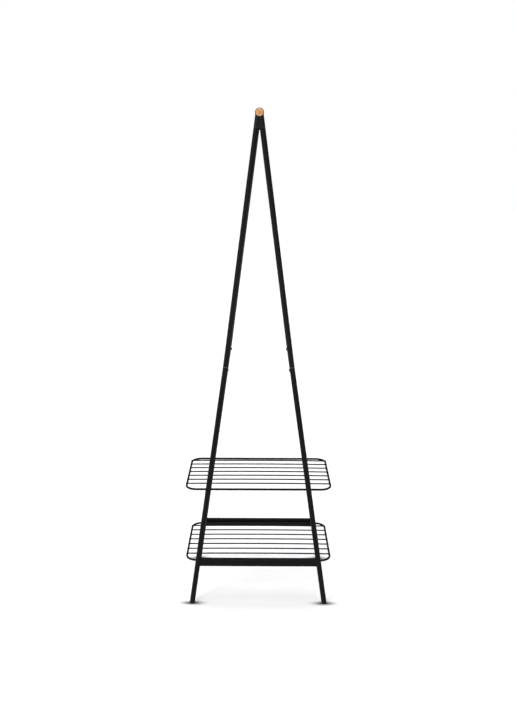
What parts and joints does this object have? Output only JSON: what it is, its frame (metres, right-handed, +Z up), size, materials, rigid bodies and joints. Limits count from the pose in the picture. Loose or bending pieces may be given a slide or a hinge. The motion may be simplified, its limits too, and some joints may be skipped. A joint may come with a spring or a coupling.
{
  "type": "valet stand",
  "caption": "Slim A-frame clothes rack of black steel tube, with a round wooden hanging rod at the top and two open wire shelves near the floor.",
  "frame": {"origin": "on the floor, under the middle of the rack", "axes": "+Z up; X across the A-frames, left to right; Y along the hanging rod, front A-frame at -Y"},
  "size_m": [0.5674, 0.403, 1.9],
  "materials": {
    "black_coated_steel": "satin powder coat with a fine texture",
    "black_moulding": "fine moulded satin",
    "black_foot_moulding": "matt moulded",
    "black_hardware": "black oxide",
    "plated_steel": "zinc plated",
    "beech": "oiled beech, fine grain, bare end grain"
  },
  "bodies": {
    "root": {"bracket_grub_screws": "black_hardware", "front_crossbar": "black_coated_steel", "front_left_crossbar_weld": "black_coated_steel", "front_left_foot": "black_foot_moulding", "front_left_joint_sleeve": "plated_steel", "front_left_lower_leg": "black_coated_steel", "front_left_upper_leg": "black_coated_steel", "front_right_crossbar_weld": "black_coated_steel", "front_right_foot": "black_foot_moulding", "front_right_joint_sleeve": "plated_steel", "front_right_lower_leg": "black_coated_steel", "front_right_upper_leg": "black_coated_steel", "front_top_bracket": "black_moulding", "hanging_rod": "beech", "joint_bolts": "black_hardware", "joint_saddle_washers": "black_hardware", "lower_shelf_rim": "black_coated_steel", "lower_shelf_rivet_nuts": "plated_steel", "lower_shelf_screws": "black_hardware", "lower_shelf_tabs": "black_coated_steel", "lower_shelf_wires": "black_coated_steel", "rear_crossbar": "black_coated_steel", "rear_left_crossbar_weld": "black_coated_steel", "rear_left_foot": "black_foot_moulding", "rear_left_joint_sleeve": "plated_steel", "rear_left_lower_leg": "black_coated_steel", "rear_left_upper_leg": "black_coated_steel", "rear_right_crossbar_weld": "black_coated_steel", "rear_right_foot": "black_foot_moulding", "rear_right_joint_sleeve": "plated_steel", "rear_right_lower_leg": "black_coated_steel", "rear_right_upper_leg": "black_coated_steel", "rear_top_bracket": "black_moulding", "rod_screws": "plated_steel", "upper_shelf_rim": "black_coated_steel", "upper_shelf_rivet_nuts": "plated_steel", "upper_shelf_screws": "black_hardware", "upper_shelf_tabs": "black_coated_steel", "upper_shelf_wires": "black_coated_steel"}
  },
  "joints": []
}
